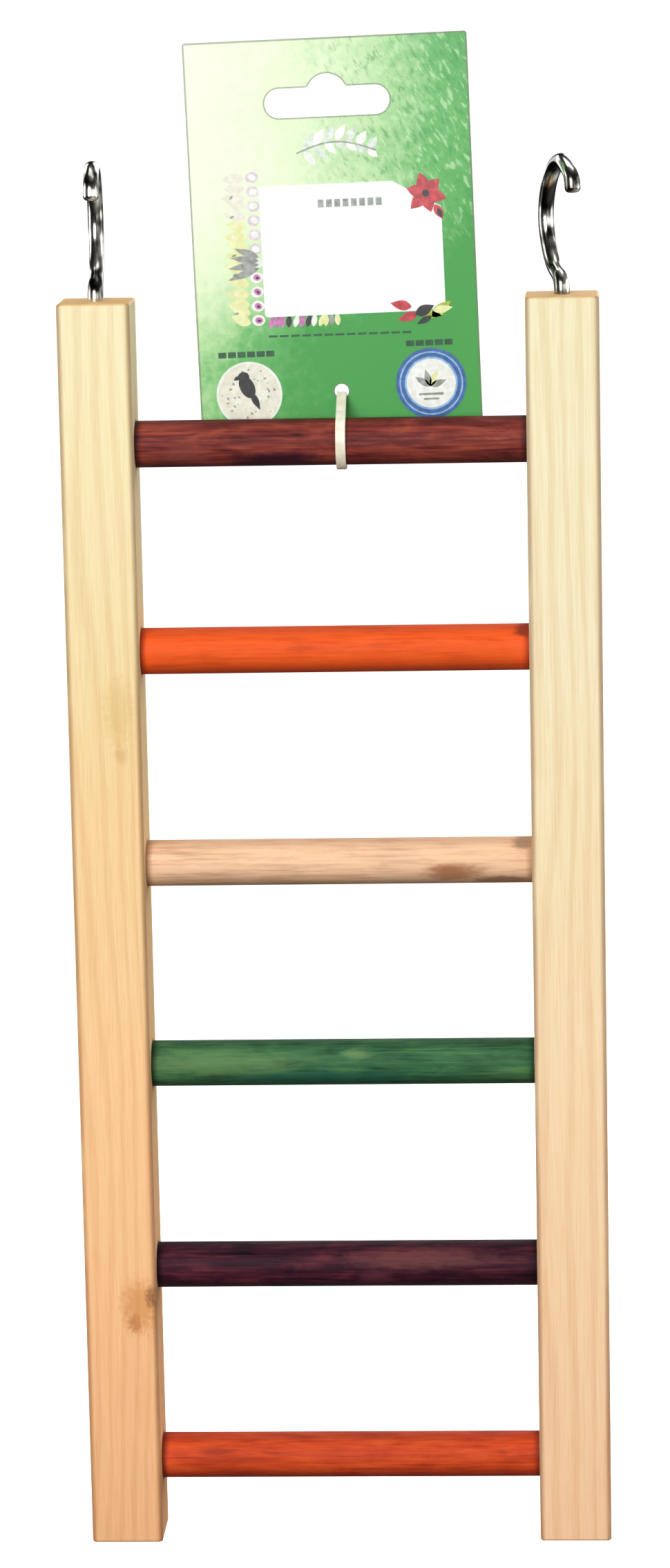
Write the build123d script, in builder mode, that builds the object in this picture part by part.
from build123d import *
import os
from math import cos, radians, sin

# Small wooden hook-on ladder for a bird cage, in millimetres.
#
# Two square softwood stiles hold six dowel rungs in blind sockets, and a brad driven from the back
# pins each tenon. A screw hook in the top end of each stile hangs the ladder from a cage bar, and
# turns in its pilot hole. A printed hang tag stands behind the top rung, held by a nylon cable tie
# that goes through the tag's punched hole and round the rung. The tie swings round the rung and
# the tag tilts on the tie.
#
# Frame: +X to the right and +Y to the back, seen from the front, and +Z up. The origin is midway
# between the two hook shanks, at the height where a bar touches the inside top of the hooks.

# ---- Driving dimensions ----
LADDER_WIDTH = 139.7
STILE_LENGTH = 333.4
STILE_SIDE = 19.05  # square section
STILE_EDGE_RADIUS = 1.2
STILE_END_RADIUS = 0.7

RUNG_DIAMETER = 12.2
RUNG_TENON = 11.0  # length of each rung end inside its stile
RUNG_CHAMFER = 0.8
RUNG_DROPS = (37.4, 91.9, 148.6, 203.0, 258.5, 311.8)  # from the stile's top to each rung's axis
SOCKET_CLEARANCE = 0.02
SOCKET_BOTTOM_GAP = 0.5

BRAD_RADIUS = 0.62
BRAD_LENGTH = 14.0
BRAD_POINT = 1.6
BRAD_HEAD_RADIUS = 1.05
BRAD_HEAD_HEIGHT = 0.7
BRAD_SET_DEPTH = 0.25  # the head lies this far under the stile's back face
BRAD_CLEARANCE = 0.02

WIRE_RADIUS = 2.05
HOOK_SEAT_HEIGHT = 31.95  # inside top of the bow above the stile's top
BOW_TOP_X = 0.9  # the bow's top stands this far from the shank, towards the tip
HOOK_NECK = 0.8  # the straight shank stands this far out of the stile
# The middle of the wire on its way from the neck to the bow's top, then on to its straight tip.
BOW_RISE = ((-4.4, 6.0), (-9.3, 11.7), (-11.4, 18.4), (-9.6, 26.4), (-4.8, 32.0))
BOW_FALL = ((6.2, 32.0), (8.6, 28.6))
HOOK_TIP = (8.9, 26.4)
HOOK_TIP_ROUNDING = 1.2
HOOK_DEPTH = 26.0  # length of the hook inside the stile
HOOK_PLAIN = 4.0  # length of that which carries no thread
THREAD_RUNOUT = 1.0  # length of the cone between the plain shank and the thread's root
THREAD_ROOT_RADIUS = 1.45
THREAD_CREST_RADIUS = 2.0
THREAD_PITCH = 2.0
THREAD_FOOT_WIDTH = 1.1
THREAD_CREST_WIDTH = 0.12
THREAD_FOOT_SUNK = 0.15  # the ridge's foot is sunk this far into the core
POINT_LENGTH = 4.0
POINT_RADIUS = 0.2
PILOT_CLEARANCE = 0.05
LEFT_HOOK_ANGLE = 2.5  # degrees from the front towards +X, of each tip
RIGHT_HOOK_ANGLE = 20.3

TAG_WIDTH = 73.4
TAG_HEIGHT = 101.6
TAG_THICKNESS = 0.5
TAG_CORNER = 0.7
TAG_GAP = 0.3  # between the rung's back and the tag's front
TAG_TILT = 1.6  # degrees, the top of the tag leaning to -X
TAG_HOLE_RADIUS = 1.85
TAG_HOLE_UP = 10.3  # from the tag's bottom edge to its punched hole
TAG_HOLE_RIGHT = 0.3  # from the tag's middle to its punched hole
TAG_HOLE_ABOVE_RUNG = 12.4
SLOT_WIDTH = 32.4
SLOT_HEIGHT = 7.6
SLOT_DROP = 16.4  # from the tag's top edge to the middle of its slot
SLOT_HUMP_RADIUS = 5.3
SLOT_HUMP_UP = 1.9
SLOT_HUMP_FILLET = 1.0

LABEL_WIDTH = 47.0
LABEL_HEIGHT = 33.8
LABEL_THICKNESS = 0.1
LABEL_CUT = (12.5, 7.0)  # legs of its cut top right corner
LABEL_CORNER = 0.8
LABEL_RIGHT = 4.8  # the label's middle from the tag's middle
LABEL_UP = 47.2  # the label's middle above the tag's bottom edge

TIE_X = 2.7
TIE_WIDTH = 2.6
TIE_THICKNESS = 1.1
TIE_EDGE_RADIUS = 0.3
TIE_RUNG_CLEARANCE = 0.1
TIE_TOP_RADIUS = 0.8  # inner radius of the bend in the tag's hole
TIE_TOP_ABOVE_RUNG = 10.4
TIE_FOOT_RADIUS = 0.6  # inner radius of the bend round the tag's bottom edge
TIE_FOOT_ABOVE_RUNG = 1.6
HEAD_WIDTH = 4.6
HEAD_HEIGHT = 4.6
HEAD_DEPTH = 3.6
HEAD_ABOVE_RUNG = 5.9
HEAD_FROM_TAG = 0.3  # between the tag's back and the head
HEAD_CORNER = 0.7
HEAD_CHAMFER = 0.35
MOUTH_WIDTH = 3.3
MOUTH_HEIGHT = 2.0
MOUTH_DEPTH = 0.8
TAIL_LENGTH = 2.4  # how far the cut tail stands out of the head

# ---- Places worked out from them ----
STILE_TOP_Z = -HOOK_SEAT_HEIGHT
STILE_BOTTOM_Z = STILE_TOP_Z - STILE_LENGTH
STILE_X = (LADDER_WIDTH - STILE_SIDE) / 2
INNER_X = LADDER_WIDTH / 2 - STILE_SIDE
BACK_Y = STILE_SIDE / 2
RUNG_RADIUS = RUNG_DIAMETER / 2
RUNG_LENGTH = 2 * (INNER_X + RUNG_TENON)
RUNG_HEIGHTS = [STILE_TOP_Z - drop for drop in RUNG_DROPS]
TOP_RUNG_Z = RUNG_HEIGHTS[0]
BRAD_X = INNER_X + RUNG_TENON / 2
BRAD_TOP_Y = BACK_Y - BRAD_SET_DEPTH
TAG_FRONT_Y = RUNG_RADIUS + TAG_GAP
TAG_MIDDLE_Y = TAG_FRONT_Y + TAG_THICKNESS / 2
TAG_BACK_Y = TAG_FRONT_Y + TAG_THICKNESS
TAG_BOTTOM = -TAG_HOLE_UP
TAG_TOP = TAG_HEIGHT - TAG_HOLE_UP
# The plane of the tag's back, with its origin at the punched hole. It faces the front.
TAG_PLANE = Plane(
    origin=(TIE_X, TAG_BACK_Y, TOP_RUNG_Z + TAG_HOLE_ABOVE_RUNG),
    x_dir=(cos(radians(TAG_TILT)), 0, sin(radians(TAG_TILT))),
    z_dir=(0, -1, 0),
)
# The plane of the tie's loop, with its origin on the top rung's axis and its x to the back.
TIE_PLANE = Plane(origin=(TIE_X, 0, TOP_RUNG_Z), x_dir=(0, 1, 0), z_dir=(1, 0, 0))

os.makedirs("parts", exist_ok=True)


def save(part, name):
    """Labels one finished piece and writes it to its own STEP file."""
    part.label = name
    export_step(part, f"parts/{name}.step")


# ---- Stiles ----
def make_stile(side):
    """A stile with its rung sockets, brad holes and pilot hole; side is -1 for left, 1 for right."""
    with BuildPart() as stile:
        with BuildSketch(Plane.XY.offset(STILE_BOTTOM_Z)):
            with Locations((side * STILE_X, 0)):
                Rectangle(STILE_SIDE, STILE_SIDE)
        extrude(amount=STILE_LENGTH)
        fillet(stile.edges().filter_by(Axis.Z), STILE_EDGE_RADIUS)
        ends = stile.faces().filter_by(Axis.Z)
        fillet(ends.edges(), STILE_END_RADIUS)
        for height in RUNG_HEIGHTS:
            with Locations(Plane(origin=(side * INNER_X, 0, height), z_dir=(-side, 0, 0))):
                Hole(RUNG_RADIUS + SOCKET_CLEARANCE, RUNG_TENON + SOCKET_BOTTOM_GAP)
            with Locations(Plane(origin=(side * BRAD_X, BACK_Y, height), z_dir=(0, 1, 0))):
                CounterBoreHole(
                    BRAD_RADIUS + BRAD_CLEARANCE,
                    BRAD_HEAD_RADIUS + BRAD_CLEARANCE,
                    BRAD_SET_DEPTH + BRAD_HEAD_HEIGHT + BRAD_CLEARANCE,
                    BACK_Y,
                )
        with Locations(Plane(origin=(side * STILE_X, 0, STILE_TOP_Z))):
            Hole(WIRE_RADIUS + PILOT_CLEARANCE, HOOK_DEPTH + SOCKET_BOTTOM_GAP)
    return stile.part


# ---- Rungs ----
def make_rung(height):
    """A dowel rung with a chamfer at each end and a hole for the brad in each tenon."""
    with BuildPart() as rung:
        with BuildSketch(Plane.YZ.offset(-RUNG_LENGTH / 2)):
            with Locations((0, height)):
                Circle(RUNG_RADIUS)
        extrude(amount=RUNG_LENGTH)
        chamfer(rung.edges().filter_by(GeomType.CIRCLE), RUNG_CHAMFER)
        depth_in_rung = RUNG_RADIUS - (BRAD_TOP_Y - BRAD_LENGTH) + BRAD_CLEARANCE
        for side in (-1, 1):
            with Locations(Plane(origin=(side * BRAD_X, RUNG_RADIUS, height), z_dir=(0, 1, 0))):
                Hole(BRAD_RADIUS + BRAD_CLEARANCE, depth_in_rung)
    return rung.part


# ---- Brads ----
def make_brads(side):
    """The six brads that pin one stile's tenons, each with a flat head and a sharp point."""
    neck_y = BRAD_TOP_Y - BRAD_HEAD_HEIGHT
    tip_y = BRAD_TOP_Y - BRAD_LENGTH
    with BuildPart() as brads:
        for height in RUNG_HEIGHTS:
            with BuildSketch(Plane(origin=(side * BRAD_X, 0, height), x_dir=(1, 0, 0))):
                with BuildLine():
                    Polyline(
                        (0, BRAD_TOP_Y),
                        (BRAD_HEAD_RADIUS, BRAD_TOP_Y),
                        (BRAD_HEAD_RADIUS, neck_y),
                        (BRAD_RADIUS, neck_y),
                        (BRAD_RADIUS, tip_y + BRAD_POINT),
                        (0, tip_y),
                        close=True,
                    )
                make_face()
            revolve(axis=Axis((side * BRAD_X, 0, height), (0, 1, 0)))
    return brads.part


# ---- Hooks ----
def make_hook(side, angle):
    """A screw hook: a threaded shank and a swept bow whose tip points along angle."""
    upright = Plane(
        origin=(0, 0, 0),
        x_dir=(sin(radians(angle)), -cos(radians(angle)), 0),
        z_dir=(-cos(radians(angle)), -sin(radians(angle)), 0),
    )
    bow_top = (BOW_TOP_X, HOOK_SEAT_HEIGHT + WIRE_RADIUS)
    with BuildPart() as hook:
        with BuildLine(upright) as wire:
            Line((0, -HOOK_PLAIN), (0, HOOK_NECK))
            Spline((0, HOOK_NECK), *BOW_RISE, bow_top, *BOW_FALL, tangents=((0, 1), (0.3, -2.2)))
            Line(BOW_FALL[-1], HOOK_TIP)
        with BuildSketch(Plane(origin=upright.origin - Vector(0, 0, HOOK_PLAIN))):
            Circle(WIRE_RADIUS)
        sweep(path=wire.line)
        tip = hook.faces().filter_by(GeomType.PLANE).sort_by(Axis.Z)[-1]
        fillet(tip.edges(), HOOK_TIP_ROUNDING)
        # The thread's core and point.
        with BuildSketch(upright):
            with BuildLine():
                Polyline(
                    (0, -HOOK_PLAIN),
                    (WIRE_RADIUS, -HOOK_PLAIN),
                    (THREAD_ROOT_RADIUS, -HOOK_PLAIN - THREAD_RUNOUT),
                    (THREAD_ROOT_RADIUS, -HOOK_DEPTH + POINT_LENGTH),
                    (POINT_RADIUS, -HOOK_DEPTH),
                    (0, -HOOK_DEPTH),
                    close=True,
                )
            make_face()
        revolve(axis=Axis(upright.origin, (0, 0, 1)))
        # The thread's ridge, from the point up to the cone under the plain shank.
        ridge_start = upright.origin - Vector(0, 0, HOOK_DEPTH - POINT_LENGTH)
        ridge_length = HOOK_DEPTH - POINT_LENGTH - HOOK_PLAIN - THREAD_RUNOUT
        with BuildLine() as spiral:
            Helix(THREAD_PITCH, ridge_length, THREAD_ROOT_RADIUS, center=ridge_start)
        crest = THREAD_CREST_RADIUS - THREAD_ROOT_RADIUS
        with BuildSketch(Plane(origin=spiral.line @ 0, x_dir=(1, 0, 0), z_dir=spiral.line % 0)):
            with BuildLine():
                Polyline(
                    (-THREAD_FOOT_SUNK, -THREAD_FOOT_WIDTH / 2),
                    (crest, -THREAD_CREST_WIDTH / 2),
                    (crest, THREAD_CREST_WIDTH / 2),
                    (-THREAD_FOOT_SUNK, THREAD_FOOT_WIDTH / 2),
                    close=True,
                )
            make_face()
        sweep(path=spiral.line, is_frenet=True)
    return Pos(side * STILE_X, 0, STILE_TOP_Z) * hook.part


# ---- Hang tag and its label ----
def make_tag():
    """The printed board, with its hanging slot and the punched hole that the tie goes through."""
    hump = (-TAG_HOLE_RIGHT, TAG_TOP - SLOT_DROP + SLOT_HUMP_UP)
    with BuildPart() as tag:
        with BuildSketch(TAG_PLANE):
            with Locations((-TAG_HOLE_RIGHT, (TAG_BOTTOM + TAG_TOP) / 2)):
                RectangleRounded(TAG_WIDTH, TAG_HEIGHT, TAG_CORNER)
        extrude(amount=TAG_THICKNESS)
        with BuildSketch(TAG_PLANE) as slot:
            with Locations((-TAG_HOLE_RIGHT, TAG_TOP - SLOT_DROP)):
                SlotOverall(SLOT_WIDTH, SLOT_HEIGHT)
            with Locations(hump):
                Circle(SLOT_HUMP_RADIUS)
            fillet(slot.vertices().sort_by_distance(hump)[:2], SLOT_HUMP_FILLET)
        extrude(amount=TAG_THICKNESS, mode=Mode.SUBTRACT)
        with BuildSketch(TAG_PLANE):
            Circle(TAG_HOLE_RADIUS)
        extrude(amount=TAG_THICKNESS, mode=Mode.SUBTRACT)
    return tag.part


def make_label():
    """The paper label stuck on the front of the tag, with its top right corner cut off."""
    right, top = LABEL_WIDTH / 2, LABEL_HEIGHT / 2
    cut_x, cut_y = LABEL_CUT
    with BuildPart() as label:
        with BuildSketch(TAG_PLANE.offset(TAG_THICKNESS)) as outline:
            with Locations((LABEL_RIGHT - TAG_HOLE_RIGHT, LABEL_UP - TAG_HOLE_UP)):
                Polygon(
                    (-right, -top),
                    (right, -top),
                    (right, top - cut_y),
                    (right - cut_x, top),
                    (-right, top),
                    align=None,
                )
            fillet(outline.vertices(), LABEL_CORNER)
        extrude(amount=LABEL_THICKNESS)
    return label.part


# ---- Cable tie ----
def tie_outline(grow):
    """A taut band round the rung, the bend in the tag's hole and the tag's bottom edge."""
    with BuildSketch(TIE_PLANE) as outline:
        Circle(RUNG_RADIUS + TIE_RUNG_CLEARANCE + grow)
        with Locations((TAG_MIDDLE_Y, TIE_TOP_ABOVE_RUNG)):
            Circle(TIE_TOP_RADIUS + grow)
        with Locations((TAG_MIDDLE_Y, TIE_FOOT_ABOVE_RUNG)):
            Circle(TIE_FOOT_RADIUS + grow)
        make_hull()
    return outline.sketch


def make_tie():
    """The cinched cable tie: its loop, the head behind the tag and the cut tail in its mouth."""
    head_back = TAG_BACK_Y + HEAD_FROM_TAG + HEAD_DEPTH
    facing_back = Plane(
        origin=(TIE_X, head_back, TOP_RUNG_Z + HEAD_ABOVE_RUNG),
        x_dir=(-1, 0, 0),
        z_dir=(0, 1, 0),
    )
    with BuildPart() as tie:
        add(extrude(tie_outline(TIE_THICKNESS), amount=TIE_WIDTH / 2, both=True))
        add(extrude(tie_outline(0), amount=TIE_WIDTH, both=True), mode=Mode.SUBTRACT)
        sides = tie.faces().filter_by(Axis.X)
        fillet(sides.edges(), TIE_EDGE_RADIUS)
        with BuildSketch(facing_back):
            RectangleRounded(HEAD_WIDTH, HEAD_HEIGHT, HEAD_CORNER)
        extrude(amount=-HEAD_DEPTH)
        back = tie.faces().sort_by(Axis.Y)[-1]
        chamfer(back.edges(), HEAD_CHAMFER)
        with BuildSketch(facing_back):
            Rectangle(MOUTH_WIDTH, MOUTH_HEIGHT)
        extrude(amount=-MOUTH_DEPTH, mode=Mode.SUBTRACT)
        with BuildSketch(facing_back.offset(-MOUTH_DEPTH)):
            Rectangle(TIE_WIDTH, TIE_THICKNESS)
        extrude(amount=MOUTH_DEPTH + TAIL_LENGTH)
    return tie.part


for number, rung_height in enumerate(RUNG_HEIGHTS, start=1):
    save(make_rung(rung_height), f"rung_{number}")
for word, side_sign, hook_angle in (("left", -1, LEFT_HOOK_ANGLE), ("right", 1, RIGHT_HOOK_ANGLE)):
    save(make_stile(side_sign), f"{word}_stile")
    save(make_brads(side_sign), f"{word}_brads")
    save(make_hook(side_sign, hook_angle), f"{word}_hook")
save(make_tag(), "hang_tag")
save(make_label(), "tag_label")
save(make_tie(), "cable_tie")
